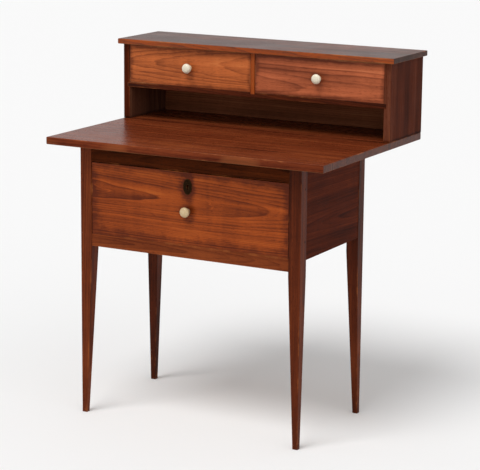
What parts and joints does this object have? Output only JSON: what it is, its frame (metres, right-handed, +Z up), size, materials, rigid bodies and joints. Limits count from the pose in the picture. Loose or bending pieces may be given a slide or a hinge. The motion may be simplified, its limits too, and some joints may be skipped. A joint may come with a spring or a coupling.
{
  "type": "sewing desk",
  "caption": "Table-based sewing desk: wide work surface on tapered legs, lockable deep drawer below, gallery with small drawers over an open shelf.",
  "frame": {"origin": "on the floor, under the middle of the box that the whole desk fills", "axes": "+X to the desk's right, drawers open towards -Y, +Z up"},
  "size_m": [0.814, 0.576, 0.946],
  "materials": {
    "frame_wood": "dark red-brown hardwood under a worn polished varnish",
    "drawer_front_wood": "lighter orange-brown hardwood under the same varnish",
    "secondary_wood": "unfinished softwood, aged",
    "knob": "polished bone, turned",
    "escutcheon": "dark aged brass",
    "iron": "dull dark iron"
  },
  "bodies": {
    "desk": {"leg_front_left": "frame_wood", "leg_front_right": "frame_wood", "leg_rear_left": "frame_wood", "leg_rear_right": "frame_wood", "apron_left": "frame_wood", "apron_right": "frame_wood", "apron_back": "frame_wood", "lower_rail": "frame_wood", "upper_rail": "frame_wood", "runner_left": "secondary_wood", "runner_right": "secondary_wood", "kicker_left": "secondary_wood", "kicker_right": "secondary_wood", "guide_left": "secondary_wood", "guide_right": "secondary_wood", "drawer_stops": "secondary_wood", "joint_pegs": "frame_wood", "desktop_screws": "iron", "desktop_front": "frame_wood", "desktop_rear": "frame_wood", "gallery_side_left": "frame_wood", "gallery_side_right": "frame_wood", "gallery_back": "frame_wood", "gallery_top": "frame_wood", "gallery_shelf": "frame_wood", "gallery_divider": "frame_wood", "gallery_stops": "secondary_wood", "gallery_nails": "iron", "gallery_screws": "iron"},
    "main_drawer": {"drawer_front": "drawer_front_wood", "drawer_side_left": "secondary_wood", "drawer_side_right": "secondary_wood", "drawer_back": "secondary_wood", "drawer_bottom": "secondary_wood", "drawer_nails": "iron", "drawer_knob": "knob", "escutcheon": "escutcheon", "escutcheon_pins": "escutcheon", "lock_case": "iron", "lock_screws": "iron"},
    "lock_bolt": {"lock_bolt": "iron"},
    "left_small_drawer": {"left_small_drawer_front": "drawer_front_wood", "left_small_drawer_side_left": "secondary_wood", "left_small_drawer_side_right": "secondary_wood", "left_small_drawer_back": "secondary_wood", "left_small_drawer_bottom": "secondary_wood", "left_small_drawer_nails": "iron", "left_small_drawer_knob": "knob"},
    "right_small_drawer": {"right_small_drawer_front": "drawer_front_wood", "right_small_drawer_side_left": "secondary_wood", "right_small_drawer_side_right": "secondary_wood", "right_small_drawer_back": "secondary_wood", "right_small_drawer_bottom": "secondary_wood", "right_small_drawer_nails": "iron", "right_small_drawer_knob": "knob"}
  },
  "joints": [
    {"name": "main_drawer_slide", "type": "slide", "parent": "desk", "child": "main_drawer", "axis": [0, -1, 0], "range_m": [0, 0.24]},
    {"name": "left_small_drawer_slide", "type": "slide", "parent": "desk", "child": "left_small_drawer", "axis": [0, -1, 0], "range_m": [0, 0.13]},
    {"name": "right_small_drawer_slide", "type": "slide", "parent": "desk", "child": "right_small_drawer", "axis": [0, -1, 0], "range_m": [0, 0.13]},
    {"name": "lock_bolt_throw", "type": "slide", "parent": "main_drawer", "child": "lock_bolt", "axis": [0, 0, 1], "range_m": [0, 0.008]}
  ]
}
